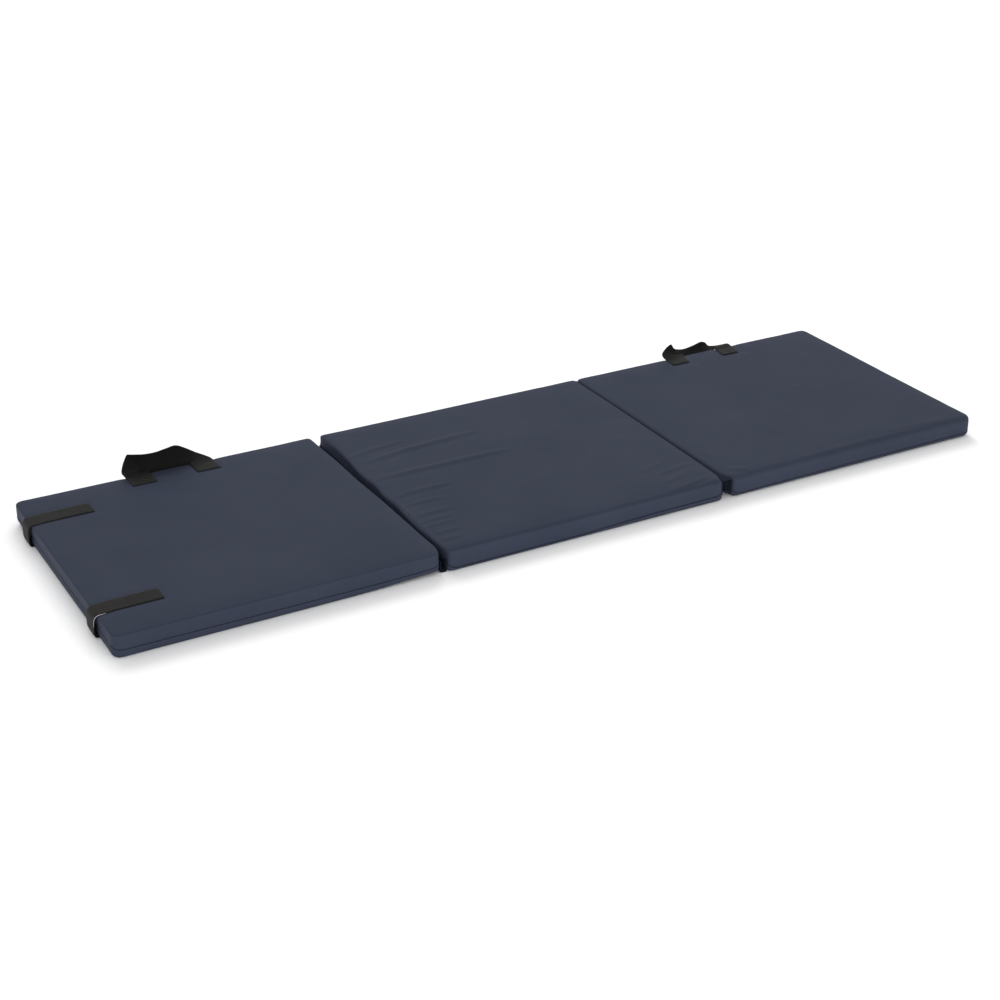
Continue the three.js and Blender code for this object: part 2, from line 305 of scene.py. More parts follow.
# ------------------------------------------------------------------ padded panels
CELL = 7.0  # the pad mesh's cell, in millimetres
ARC_STEPS = 4  # rings round the top edge
SWELL = 1.0 * MM  # the top starts this much lower, because pressure swells it
SWELL_CAP = 2.0 * MM  # the furthest that pressure moves any point
SWELL_FRAMES = 20
FOAM_INSET = 3.6 * MM  # the foam's surface inside the cover's
BACK_SEAM = 17.0  # the seam's height away from the front, in millimetres
SEAM_STEPS = (3.4, 1.5, 0.0, -1.5, -3.4)  # rings about the seam, in millimetres
LOW_STEPS = (0.70, 0.40, 0.18, 0.05)  # rings below them, as parts of what is left
LEFT_END, RIGHT_END = -1, 1
FRONT, BACK = -1, 1

# Each pad is stuffed a little differently. Radii of the top edge at the front and elsewhere, of the
# bottom edge and of the corners, the height of the top edge's lip, the seam groove's depth, how round
# each corner is, and the seam's height along the front. In millimetres.
PADS = {
    "left": {
        "top": 4.5, "ends": 4.5, "bottom": 3.5, "corner": 15, "lip": 0.45, "groove": 1.2,
        "roundness": {(LEFT_END, FRONT): 1, (LEFT_END, BACK): 1,
                      (RIGHT_END, FRONT): 0.9, (RIGHT_END, BACK): 0.3},
        "seam": ((-300, 14), (0, 13), (250, 12.5), (300, 16)),
    },
    "middle": {
        "top": 9, "ends": 4.5, "bottom": 5, "corner": 17, "lip": 0.15, "groove": 1.6,
        "roundness": {(LEFT_END, FRONT): 0.2, (LEFT_END, BACK): 0.1,
                      (RIGHT_END, FRONT): 0.25, (RIGHT_END, BACK): 0.3},
        "seam": ((-300, 5.2), (-30, 5.2), (130, 10), (300, 11)),
    },
    "right": {
        "top": 13, "ends": 5, "bottom": 9, "corner": 18, "lip": 0, "groove": 1.6,
        "roundness": {(LEFT_END, FRONT): 0.25, (LEFT_END, BACK): 0.3,
                      (RIGHT_END, FRONT): 1, (RIGHT_END, BACK): 0.5},
        "seam": ((-300, 5.2), (-200, 7), (300, 9)),
    },
}

# How far each hinge edge strays from its straight line: (y, x shift) along the edge, in millimetres.
# An edge that bows more than 3 mm into the gap would reach the cloth that turns there.
EDGE_STRAY = {
    ("left", RIGHT_END): ((-280, -2), (-268, -1), (-250, 2.5), (-195, 2), (-42, 2), (58, -1),
                          (160, -0.5), (280, -3)),
    ("middle", LEFT_END): ((-280, 4), (-262, 3), (-240, 1), (-100, 2), (0, 5), (100, 6),
                           (165, 9), (210, 11.5), (280, 10)),
    ("middle", RIGHT_END): ((-280, -8), (-266, -7), (-252, -3), (-232, -1.5), (-74, 1.9), (59, 3), (280, 3)),
    ("right", LEFT_END): ((-280, 7), (-266, 6), (-254, -2), (-232, -3), (-74, -3), (59, -2.8), (280, -3)),
}
STRAY_REACH = 24  # how far into the pad the stray dies away, in millimetres

# Folds in the cover: points along the fold, half width, height. The pad's own frame, in millimetres.
FOLDS = {
    "left": (),
    "middle": (
        (((-284, 157), (-227, 168), (-150, 179)), 5, 1.2),
        (((-284, 112), (-257, 122), (-181, 137), (-113, 143), (0, 148)), 5.5, 1.9),
        (((-290, 44), (-205, 46), (-119, 46), (-53, 45), (20, 40)), 5.5, 1.9),
        (((-288, -39), (-224, -34), (-150, -35)), 5, 1.4),
        (((-290, -84), (-250, -80), (-200, -83)), 4.5, 1),
        (((-290, -128), (-261, -127), (-205, -127)), 4.5, 1.2),
        (((-291, -156), (-255, -154), (-220, -155)), 4, 0.9),
        (((-291, -175), (-275, -174), (-225, -175)), 4, 1.1),
        (((-292, -206), (-281, -206), (-235, -206)), 4, 1.1),
        (((-293, -266), (-289, -200), (-285, -120), (-282, -30)), 2.6, 1.1),
        (((-292, -232), (-270, -233), (-240, -236)), 4, 1),
        (((150, -172), (205, -160), (250, -150)), 5, 0.8),
        (((190, -197), (221, -191), (280, -182)), 4.5, 1.2),
        (((180, -232), (205, -226), (245, -215)), 4.5, 1.1),
        (((165, -264), (210, -260), (285, -247)), 4.5, 1.4),
        (((215, -278), (250, -272), (290, -258)), 4, 1.4),
    ),
    "right": (
        (((-286, -236), (-262, -246), (-238, -262)), 5, 1.2),
        (((-120, -262), (20, -258), (160, -263)), 7, 0.9),
        (((90, -246), (180, -250), (270, -258)), 6, 0.9),
        (((-291, -150), (-276, -160), (-268, -185)), 5, 0.9),
    ),
}

# Corners where the cover's bottom edge is drawn up: x, y, reach, height, in the pad's own frame.
LIFTS = {"left": ((-297, 280, 60, 9), (297, -280, 100, 7)), "middle": (), "right": ()}


def rim_walk(nx, ny):
    """Grid positions round the rim, anticlockwise from the low corner."""
    south = [(i, 0) for i in range(nx)]
    east = [(nx, j) for j in range(ny)]
    north = [(i, ny) for i in range(nx, 0, -1)]
    west = [(0, j) for j in range(ny, 0, -1)]
    return south + east + north + west


def pad_grid(inner, band, roundness):
    """Grid of a rounded rectangle: a straight middle and two cells of border. Also each point's way out."""
    def lines(half):
        middle = np.linspace(-half, half, round(2 * half / CELL) + 1)
        return np.concatenate([[-half - band, -half - band / 2], middle, [half + band / 2, half + band]])

    xs, ys = lines(inner[0]), lines(inner[1])
    grid = np.stack(np.meshgrid(xs, ys, indexing="ij"), -1)
    beyond = grid - np.clip(grid, -inner, inner)
    square = np.maximum(np.abs(beyond).max(-1), 1e-9)
    circle = np.maximum(np.linalg.norm(beyond, axis=-1), 1e-9)
    rounded = np.empty(grid.shape[:2])
    for (x_end, y_end), value in roundness.items():
        here = (np.sign(grid[..., 0]) == x_end) & (np.sign(grid[..., 1]) == y_end)
        rounded[here] = value
    reach = rounded * circle + (1 - rounded) * square
    return grid - beyond + beyond * (square / reach)[..., None], beyond / reach[..., None]


def inset_at(z, top, round_top, round_bottom):
    """How far the pad's side stands in from its outermost line at height z, for its rounded edges."""
    over = np.clip((z - (top - round_top)) / round_top, 0, 1)
    under = np.clip((round_bottom - z) / round_bottom, 0, 1)
    return round_top * (1 - np.sqrt(1 - over**2)) + round_bottom * (1 - np.sqrt(1 - under**2))


def pad_mesh(side):
    """The pad's closed outer surface as quads: verts, faces, which faces are above the seam, and
    each point's height over the seam and place on the top edge's lip."""
    form = PADS[side]
    lo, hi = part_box(f"{side}_top_cover")
    half = np.array([hi.x - lo.x, hi.y - lo.y]) / 2 / MM
    top = (hi.z - SWELL) / MM
    inner = half - form["corner"]
    caps = [pad_grid(inner, form["corner"] - form[edge], form["roundness"])[0] for edge in ("top", "bottom")]
    outward = pad_grid(inner, 1.0, form["roundness"])[1]
    nx, ny = caps[0].shape[0] - 1, caps[0].shape[1] - 1
    walk = rim_walk(nx, ny)
    out = np.array([outward[i, j] for i, j in walk])
    front = np.clip(-out[:, 1] / np.linalg.norm(out, axis=1), 0, 1)
    round_top = form["ends"] + (form["top"] - form["ends"]) * front**2
    for (i, j), way, radius in zip(walk, out, round_top):
        caps[0][i, j] += way * (form["top"] - radius)
    rim = np.array([caps[0][i, j] for i, j in walk])
    low_seam = np.interp(rim[:, 0], *zip(*form["seam"]))
    seam = BACK_SEAM + (low_seam - BACK_SEAM) * front**2
    turns = [math.radians(90 * k / ARC_STEPS) for k in range(1, ARC_STEPS + 1)]
    high = seam + SEAM_STEPS[0]
    levels = [top - round_top * (1 - math.cos(turn)) for turn in turns]
    levels += [levels[-1] + (high - levels[-1]) * part for part in (1 / 3, 2 / 3)]
    levels += [seam + step for step in SEAM_STEPS]
    levels += [(seam + SEAM_STEPS[-1]) * part for part in LOW_STEPS]
    seam_ring = ARC_STEPS + 2 + SEAM_STEPS.index(0.0)
    cap_count, rim_count = caps[0].shape[0] * caps[0].shape[1], len(rim)
    flat = lambda cap, z: np.column_stack([cap.reshape(-1, 2), np.full(cap_count, z)])
    verts, over, lip = [flat(caps[0], top)], [np.full(cap_count, top)], [np.zeros(cap_count)]
    for number, z in enumerate(levels):
        place = rim + out * (round_top - inset_at(z, top, round_top, form["bottom"]))[:, None]
        verts.append(np.column_stack([place, z]))
        over.append(z - seam)
        lip.append(np.full(rim_count, {0: 0.6, 1: 1.0, 2: 0.5}.get(number, 0.0)))
    verts.append(flat(caps[1], 0.0))
    over.append(np.full(cap_count, -top))
    lip.append(np.zeros(cap_count))
    cell = lambda i, j: i * (ny + 1) + j
    last = cap_count + rim_count * len(levels)
    faces, above = [], []
    for i in range(nx):
        for j in range(ny):
            quad = [cell(i, j), cell(i + 1, j), cell(i + 1, j + 1), cell(i, j + 1)]
            faces.append(quad)
            above.append(True)
            faces.append([last + k for k in reversed(quad)])
            above.append(False)
    rings = [[cell(i, j) for i, j in walk]]
    rings += [[cap_count + r * rim_count + k for k in range(rim_count)] for r in range(len(levels))]
    rings.append([last + cell(i, j) for i, j in walk])
    for number, (upper, lower) in enumerate(zip(rings[:-1], rings[1:])):
        for k in range(rim_count):
            m = (k + 1) % rim_count
            faces.append([upper[m], upper[k], lower[k], lower[m]])
            above.append(number <= seam_ring)
    middle = ((lo.x + hi.x) / 2, (lo.y + hi.y) / 2, 0)
    return np.vstack(verts) * MM + middle, faces, above, np.concatenate(over), np.concatenate(lip)


def inflate(obj, cap):
    """Cloth under pressure, with each point's travel capped, because the foam inside holds the cover."""
    rest = coords(obj.data)
    cloth = obj.modifiers.new("cloth", "CLOTH")
    cloth.settings.quality = 4
    cloth.settings.mass = 0.3
    cloth.settings.tension_stiffness = 15
    cloth.settings.compression_stiffness = 15
    cloth.settings.shear_stiffness = 5
    cloth.settings.bending_stiffness = 2
    cloth.settings.use_pressure = True
    cloth.settings.uniform_pressure_force = 4
    cloth.settings.effector_weights.gravity = 0
    cloth.point_cache.frame_start = 1
    cloth.point_cache.frame_end = SWELL_FRAMES
    for step in range(1, SWELL_FRAMES + 1):
        SCENE.frame_set(step)
    graph = bpy.context.evaluated_depsgraph_get()
    moved = coords(obj.evaluated_get(graph).data) - rest
    obj.modifiers.clear()
    SCENE.frame_set(1)
    length = np.linalg.norm(moved, axis=1)[:, None] + 1e-9
    set_coords(obj.data, rest + moved * (cap * np.tanh(length / cap) / length))


def fit_to_panel(mesh, side):
    """Brings the pad's outermost lines back to the panel's own length and width."""
    points = coords(mesh)
    lo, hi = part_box(f"{side}_top_cover")
    for axis in (0, 1):
        low, high = points[:, axis].min(), points[:, axis].max()
        points[:, axis] = lo[axis] + (points[:, axis] - low) * (hi[axis] - lo[axis]) / (high - low)
    points[:, 2] = np.maximum(points[:, 2], 0)
    set_coords(mesh, points)


def stray(side, end, y, z):
    """How far the hinge edge stands from its straight line at (y, z), in millimetres."""
    shift = np.interp(y, *zip(*EDGE_STRAY[side, end]))
    if side == "middle" and end == LEFT_END:
        shift = shift + 1.6 * np.sin(y / 22 + 1.3 * np.sin(y / 58)) * np.clip((y + 260) / 60, 0, 1)
    rise = np.clip(z / 30, 0, 1)
    low = np.interp(y, (-280, -230), (0.9, 0.35))
    return shift * (low + (1 - low) * rise * rise * (3 - 2 * rise))


def in_panel(points, side):
    lo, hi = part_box(f"{side}_top_cover")
    return (points - ((lo.x + hi.x) / 2, (lo.y + hi.y) / 2, 0)) / MM, (hi.x - lo.x) / 2 / MM


def lean_edges(mesh, side):
    points = coords(mesh)
    local, half = in_panel(points, side)
    for end in (LEFT_END, RIGHT_END):
        if (side, end) not in EDGE_STRAY:
            continue
        near = np.exp(-(((half - end * local[:, 0]) / STRAY_REACH) ** 2))
        points[:, 0] += stray(side, end, local[:, 1], local[:, 2]) * near * MM
    set_coords(mesh, points)


def draw_up(mesh, side):
    """Raises the bottom edge at the corners where the cover is drawn up."""
    points = coords(mesh)
    local, _ = in_panel(points, side)
    for x, y, reach, height in LIFTS[side]:
        near = np.exp(-(((local[:, 0] - x) ** 2 + (local[:, 1] - y) ** 2) / reach**2))
        points[:, 2] += height * near * np.clip(1 - local[:, 2] / BACK_SEAM, 0, 1) * MM
    set_coords(mesh, points)


def fold_height(x, y, line, width, height):
    """A fold: a low ridge whose back slope lies on its line, fading out at both ends."""
    line = np.array(line, float)
    if abs(line[-1, 1] - line[0, 1]) > abs(line[-1, 0] - line[0, 0]):
        x, y, line = y, x, line[:, ::-1]
    ys = np.interp(x, line[:, 0], line[:, 1])
    t = (x - line[0, 0]) / (line[-1, 0] - line[0, 0])
    fade = np.where((t > 0) & (t < 1), 1 - np.abs(2 * t - 1) ** 3, 0)
    u = (y - ys) / width + 1
    return height * fade * (np.exp(-0.5 * u * u) - 0.35 * np.exp(-0.5 * (u + 2.2) ** 2))


def relief(side, x, y):
    """Height of the cover's ripples and folds, in millimetres."""
    wave = 0.22 * np.sin(x / 61 + 1.3 * np.sin(y / 97)) + 0.18 * np.sin(y / 71 + 0.9 * np.sin(x / 83))
    for line, width, height in FOLDS[side]:
        wave = wave + fold_height(x, y, line, width, height)
    return wave


def sewn_dent(points, side):
    """How far the sewn webbing draws the cover down, in millimetres."""
    depth = np.zeros(len(points))
    patches = [f"{side}_handle_sewn_end_{end}" for end in ("left", "right")] if side != "middle" else []
    patches += [f"{place}_strap_sewn_end" for place in PLACES] if side == "left" else []
    for patch in patches:
        lo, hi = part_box(patch)
        gap = [np.maximum(np.maximum(lo[a] - points[:, a], points[:, a] - hi[a]), 0) for a in (0, 1)]
        depth = np.maximum(depth, 0.9 * np.exp(-((np.hypot(*gap) / (8 * MM)) ** 2)))
    return depth


def shape_pad(obj, side):
    mesh = obj.data
    points, out = coords(mesh), normals(mesh)
    local, _ = in_panel(points, side)
    up = np.clip(out[:, 2], 0, 1)
    over, lip = np.empty(len(points)), np.empty(len(points))
    mesh.attributes["over_seam"].data.foreach_get("value", over)
    mesh.attributes["lip"].data.foreach_get("value", lip)
    raised = (relief(side, local[:, 0], local[:, 1]) - sewn_dent(points, side)) * up + PADS[side]["lip"] * lip
    points += out * (raised * MM)[:, None]
    groove = PADS[side]["groove"] * np.exp(-((over / 0.9) ** 2)) - 0.5 * np.exp(-(((over + 4) / 2.5) ** 2))
    points -= out * (1, 1, 0) * (groove * MM)[:, None]
    points[:, 2] = np.maximum(points[:, 2], 0)
    set_coords(mesh, points)


def foam_block(pad, side):
    """The foam inside: the cover's own form, a little smaller all round."""
    faces = [tuple(p.vertices) for p in pad.data.polygons]
    block = make_object(f"{side}_foam_block", coords(pad.data), faces, FOAM)
    fit_to_panel(block.data, side)
    set_coords(block.data, coords(block.data) - normals(block.data) * FOAM_INSET)
    lean_edges(block.data, side)
    draw_up(block.data, side)
    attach(block, f"{side}_panel")
    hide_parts(f"{side}_foam_core")
    return block


def press(mesh, box, margin, depth):
    """Pushes the underside up over a box in the row frame, as a strap lying under the pad does."""
    points = coords(mesh)
    lo, hi = box
    inside = 1.0
    for axis in (0, 1):
        near = np.minimum(points[:, axis] - (lo[axis] - margin), (hi[axis] + margin) - points[:, axis])
        inside = inside * np.clip(near / (3 * MM) + 1, 0, 1)
    lift = depth * inside * inside * (3 - 2 * inside)
    under = points[:, 2] < depth + 2 * MM
    points[:, 2] = np.where(under, np.maximum(points[:, 2], lift), points[:, 2])
    set_coords(mesh, points)


def cover_part(obj, side, part, keep_above):
    """Cuts one cover out of the pad's surface."""
    mesh = obj.data
    points = coords(mesh)
    kept = [tuple(p.vertices) for p in mesh.polygons if (p.material_index == 0) == keep_above]
    used = sorted({v for face in kept for v in face})
    index = {v: k for k, v in enumerate(used)}
    faces = [[index[v] for v in face] for face in kept]
    return make_object(f"{side}_{part}_cover_vinyl", points[used], faces, NAVY)


def thicken(piece):
    solid = piece.modifiers.new("cloth", "SOLIDIFY")
    solid.thickness = CLOTH
    solid.offset = -1
    apply_modifiers(piece)


def build_panel(side):
    verts, faces, above, over, lip = pad_mesh(side)
    pad = make_object(f"{side}_pad_form", verts, faces, None)
    pad.data.materials.append(NAVY)
    pad.data.materials.append(SHADED_HINGE_NAVY)
    pad.data.polygons.foreach_set("material_index", [0 if up else 1 for up in above])
    for name, values in (("over_seam", over), ("lip", lip)):
        kept = pad.data.attributes.new(name, "FLOAT", "POINT")
        kept.data.foreach_set("value", np.ascontiguousarray(values, np.float32))
    inflate(pad, SWELL_CAP)
    foam = foam_block(pad, side)
    pad.modifiers.new("smooth", "SUBSURF").levels = 1
    apply_modifiers(pad)
    fit_to_panel(pad.data, side)
    lean_edges(pad.data, side)
    shape_pad(pad, side)
    draw_up(pad.data, side)
    for place in PLACES:
        if side == "left":
            wrap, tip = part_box(f"{place}_strap_wrap"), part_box(f"{place}_strap_tip")
            hollow = ((wrap[0].x - 20 * MM, wrap[0].y), (tip[1].x, tip[1].y))
            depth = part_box(f"{place}_hook_tape")[1].z + 0.4 * MM
        elif side == "right":
            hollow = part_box(f"{place}_loop_patch")
            depth = hollow[1].z + 0.3 * MM
        else:
            break
        press(pad.data, hollow, 1 * MM, depth)
        press(foam.data, hollow, 2 * MM, depth + FOAM_INSET)
    pieces = [cover_part(pad, side, "top", True), cover_part(pad, side, "base", False)]
    top_tree = BVHTree.FromPolygons([v.co for v in pieces[0].data.vertices],
                                    [tuple(p.vertices) for p in pieces[0].data.polygons])
    for piece, part in zip(pieces, ("top", "base")):
        thicken(piece)
        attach(piece, f"{side}_panel")
        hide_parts(f"{side}_{part}_cover")
    bpy.data.objects.remove(pad)
    return top_tree


def lie_on(tree, x, y, fallback, lift):
    """Height just above the cover at (x, y), or the fallback where there is no cover below."""
    hit = tree.ray_cast(Vector((x, y, 0.2)), Vector((0, 0, -1)))[0]
    return (hit.z if hit else fallback) + lift


# ------------------------------------------------------------------ webbing
ACROSS = 12


def ribbon(name, edge_a, edge_b, belly, material, thickness=WEBBING, start_length=0.0):
    """A closed strip of webbing between two selvedge curves, bellied across its width."""
    a, b = np.asarray(edge_a), np.asarray(edge_b)
    belly = np.asarray(belly)
    middle = (a + b) / 2
    along = np.gradient(middle, axis=0)
    along /= np.linalg.norm(along, axis=1)[:, None]
    width = b - a
    up = np.cross(width, along)
    up /= np.linalg.norm(up, axis=1)[:, None]
    step = np.linalg.norm(np.diff(middle, axis=0), axis=1)
    length = np.concatenate([[0], np.cumsum(step)]) + start_length
    v = np.linspace(0, 1, ACROSS + 1)
    arch = 4 * v * (1 - v)
    edge = 1 - 0.35 * np.abs(2 * v - 1) ** 8
    centre = (a[:, None] + width[:, None] * v[None, :, None]
              + (up * belly[:, None])[:, None] * arch[None, :, None])
    lift = up[:, None] * (thickness / 2 * edge)[None, :, None]
    top, bottom = centre + lift, centre - lift
    rows, columns = len(a), ACROSS + 1
    verts = np.vstack([top.reshape(-1, 3), bottom.reshape(-1, 3)])
    total = rows * columns
    at = lambda i, j, low=0: low * total + i * columns + j
    faces = []
    for i in range(rows - 1):
        for j in range(ACROSS):
            faces.append([at(i, j), at(i + 1, j), at(i + 1, j + 1), at(i, j + 1)])
            faces.append([at(i, j, 1), at(i, j + 1, 1), at(i + 1, j + 1, 1), at(i + 1, j, 1)])
        faces.append([at(i, 0), at(i, 0, 1), at(i + 1, 0, 1), at(i + 1, 0)])
        faces.append([at(i, ACROSS), at(i + 1, ACROSS), at(i + 1, ACROSS, 1), at(i, ACROSS, 1)])
    for j in range(ACROSS):
        faces.append([at(0, j), at(0, j + 1), at(0, j + 1, 1), at(0, j, 1)])
        faces.append([at(rows - 1, j), at(rows - 1, j, 1), at(rows - 1, j + 1, 1), at(rows - 1, j + 1)])
    piece = make_object(name, verts, faces, material)
    weave = piece.data.attributes.new("weave", "FLOAT_VECTOR", "POINT")
    wide = np.linalg.norm(width, axis=1)
    u = np.repeat(length, columns)
    w = (wide[:, None] * v[None, :]).ravel()
    flat = np.column_stack([u, w, np.zeros_like(u)])
    weave.data.foreach_set("vector", np.vstack([flat, flat]).astype(np.float32).ravel())
    return piece


def stitches(name, lines, body, pitch=3.2 * MM, radius=0.32 * MM):
    """Runs of thread: each stitch is a short arched tube along a line of points."""
    verts, faces = [], []
    sides, rings = 6, 5
    for line in lines:
        line = np.asarray(line, float)
        step = np.linalg.norm(np.diff(line, axis=0), axis=1)
        run = np.concatenate([[0], np.cumsum(step)])
        count = max(1, int(run[-1] / pitch))
        for k in range(count):
            s = np.linspace(k * pitch + 0.1 * pitch, (k + 0.88) * pitch, rings)
            path = np.column_stack([np.interp(s, run, line[:, c]) for c in range(3)])
            arch = np.sin(np.linspace(0, math.pi, rings))
            path[:, 2] += (arch - 0.55) * radius * 1.6
            d = path[-1] - path[0]
            d /= np.linalg.norm(d)
            n1 = np.cross(d, (0, 0, 1))
            n1 /= np.linalg.norm(n1) + 1e-9
            n2 = np.cross(n1, d)
            base = len(verts)
            for q, fat in zip(path, (0.5, 0.9, 1.0, 0.9, 0.5)):
                for m in range(sides):
                    angle = 2 * math.pi * m / sides
                    verts.append(q + radius * fat * (math.cos(angle) * n1 + math.sin(angle) * n2))
            for r in range(rings - 1):
                for m in range(sides):
                    p, o = base + r * sides, (m + 1) % sides
                    faces.append([p + m, p + o, p + sides + o, p + sides + m])
            faces.append([base + m for m in reversed(range(sides))])
            faces.append([base + (rings - 1) * sides + m for m in range(sides)])
    piece = make_object(name, verts, faces, THREAD)
    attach(piece, body)
    return piece


def box_stitch(tree, corners, inset, lift):
    """A sewn box with a cross, lying on the webbing inside the patch's four corners in plan."""
    corners = np.array(corners, float)
    centre = corners.mean(axis=0)
    reach = np.abs(corners - centre)
    corners = centre + np.sign(corners - centre) * (reach - inset)

    def run(p, q):
        t = np.linspace(0, 1, 12)[:, None]
        return [(x, y, lie_on(tree, x, y, PAD_TOP, lift)) for x, y in p + (q - p) * t]

    lines = [run(corners[k], corners[(k + 1) % 4]) for k in range(4)]
    return lines + [run(corners[0], corners[2]), run(corners[1], corners[3])]


SEWN = None  # a height that lies on the cover
LEFT_HANDLE = (  # outer selvedge, inner selvedge, belly: x from the handle's centre, y, z, in millimetres
    ((-87, 232, SEWN), (-40, 232, SEWN), 0),
    ((-87, 252, SEWN), (-40, 252, SEWN), 0),
    ((-87, 270, SEWN), (-40, 270, SEWN), 0),
    ((-88.5, 281, 43.6), (-41, 280, 42.6), 0),
    ((-90.5, 288, 49), (-45, 286, 38.5), 0.3),
    ((-85.5, 290.5, 64), (-48.5, 289, 34), 0.5),
    ((-78, 290, 79.8), (-50, 290, 33), 1),
    ((-75, 289.5, 82), (-49.5, 291, 32), 1.5),
    ((-71.5, 288.5, 81.5), (-46, 292, 30.5), 2),
    ((-62, 286, 80.5), (-38, 293, 29), 2.5),
    ((-45, 284.5, 78), (-26, 293, 28.5), 3),
    ((-23, 284, 77.5), (-6, 293, 28.5), 3),
    ((-2, 285, 80), (12, 292, 29.5), 3),
    ((19, 288, 80.8), (26, 290, 30.5), 2.5),
    ((38, 291, 70.5), (34, 287, 30), 2),
    ((58, 290, 57.5), (41, 282, 34), 0.5),
    ((72, 286, 50), (40.5, 279.9, 41.4), 0),
    ((82, 279, 45.4), (40, 275, 43.6), 0),
    ((87, 268, SEWN), (40, 266, SEWN), 0),
    ((87, 252, SEWN), (40, 252, SEWN), 0),
    ((87, 232, SEWN), (40, 232, SEWN), 0),
)
RIGHT_HANDLE = (
    ((-97, 238, SEWN), (-54, 238, SEWN), 0),
    ((-94.5, 254, SEWN), (-50.5, 254, SEWN), 0),
    ((-92, 270, SEWN), (-46, 270, SEWN), 0),
    ((-94, 281, 46), (-44, 280, 43), 0.3),
    ((-92.5, 287, 52), (-42, 287, 37), 0.8),
    ((-81, 290, 61.5), (-39, 288.5, 33), 2),
    ((-69, 290.5, 67.5), (-36, 289, 32), 3.5),
    ((-61, 295, 60), (-31, 289, 31.5), 6),
    ((-51, 304, 50), (-23, 288.5, 31), 9),
    ((-35, 311, 42), (-13, 288, 31), 10),
    ((-15, 314, 39), (-5, 288, 31), 11),
    ((7, 312, 44), (9, 288, 31), 13),
    ((23, 310, 49), (20, 287, 31), 13),
    ((34, 308.5, 46), (26, 286, 31), 8),
    ((42, 306, 38), (30, 284, 31.5), 3),
    ((55, 301, 37), (36, 282, 33), 1),
    ((69, 294, 39.5), (36, 279.9, 41.4), 0.6),
    ((77, 283, 44), (36, 275, 43.6), 0),
    ((79, 270, SEWN), (36, 268, SEWN), 0),
    ((75, 252, SEWN), (32.5, 252, SEWN), 0),
    ((71, 234, SEWN), (29, 234, SEWN), 0),
)
PER_SPAN = 8


def build_handle(side, stations, tree):
    ends = [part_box(f"{side}_handle_sewn_end_{end}") for end in ("left", "right")]
    centre = (ends[0][0].x + ends[1][1].x) / 2
    edges = []
    for which in (0, 1):
        points = []
        for station in stations:
            x, y, z = station[which]
            x, y = x * MM + centre, y * MM
            height = lie_on(tree, x, y, PAD_TOP, WEBBING_LIFT) if z is SEWN else z * MM
            points.append((x, y, height))
        edges.append(smooth_path(points, PER_SPAN))
    belly = smooth_path([[s[2] * MM] * 3 for s in stations], PER_SPAN)[:, 0]
    piece = ribbon(f"{side}_handle_webbing", edges[0], edges[1], -belly, BLACK_WEBBING)
    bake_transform(piece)
    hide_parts(f"{side}_handle_loop", f"{side}_handle_sewn_end_left", f"{side}_handle_sewn_end_right")
    lines = []
    for tip, fold in ((stations[0], stations[2]), (stations[-1], stations[-3])):
        corners = [(x * MM + centre, y * MM) for x, y, _ in (tip[0], tip[1], fold[1], fold[0])]
        lines += box_stitch(tree, corners, 4 * MM, STITCH_LIFT)
    stitches(f"{side}_handle_stitching", lines, f"{side}_panel")


def build_pale_line(name, line):
    """A pale line along the selvedge: round, and thinner at both ends."""
    line = np.asarray(line, float)
    along = np.gradient(line, axis=0)
    along /= np.linalg.norm(along, axis=1)[:, None]
    side = np.array((0.0, 1.0, 0.0))
    up = np.cross(along, side)
    fat = PALE_LINE_RADIUS * np.sin(np.linspace(0.25, math.pi - 0.25, len(line))) ** 0.5
    sides = 8
    verts, faces = [], []
    for q, n, r in zip(line, up, fat):
        verts += [q + r * (math.cos(a) * side + math.sin(a) * n)
                  for a in np.linspace(0, 2 * math.pi, sides, endpoint=False)]
    for i in range(len(line) - 1):
        for m in range(sides):
            o = (m + 1) % sides
            faces.append([i * sides + m, i * sides + o, (i + 1) * sides + o, (i + 1) * sides + m])
    faces.append(list(range(sides)))
    faces.append([(len(line) - 1) * sides + m for m in reversed(range(sides))])
    piece = make_object(name, verts, faces, PALE_LINE_MATERIAL)
    return piece


def strap_path(place, tree):
    """The strap's middle line: on the pad, round its end and under it, as (x, z) points."""
    sewn, side_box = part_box(f"{place}_strap_sewn_end"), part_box(f"{place}_strap_side")
    wrap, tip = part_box(f"{place}_strap_wrap"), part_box(f"{place}_strap_tip")
    y = (sewn[0].y + sewn[1].y) / 2
    side_x = side_box[0].x + WEBBING / 2
    under_z = (wrap[0].z + wrap[1].z) / 2
    on_top = [(x, lie_on(tree, x, y, PAD_TOP, WEBBING_LIFT))
              for x in np.linspace(sewn[1].x, sewn[0].x + 4 * MM, 14)]
    top_z = on_top[-1][1]
    bend = [(sewn[0].x - 2 * MM, top_z - 0.1 * MM), (side_x + 4.2 * MM, top_z - 2.2 * MM),
            (side_x + 0.6 * MM, top_z - 7.5 * MM), (side_x - 0.4 * MM, top_z - 14 * MM)]
    down = [(side_x - 0.6 * MM, z) for z in np.linspace(top_z - 20 * MM, under_z + 9 * MM, 3)]
    corner = [(side_x + 0.3 * MM, under_z + 3.0 * MM), (side_x + 2.8 * MM, under_z + 0.2 * MM)]
    below = [(x, under_z) for x in np.linspace(side_x + 8 * MM, tip[1].x, 16)]
    return y, smooth_path([(x, 0, z) for x, z in on_top + bend + down + corner + below], 5)


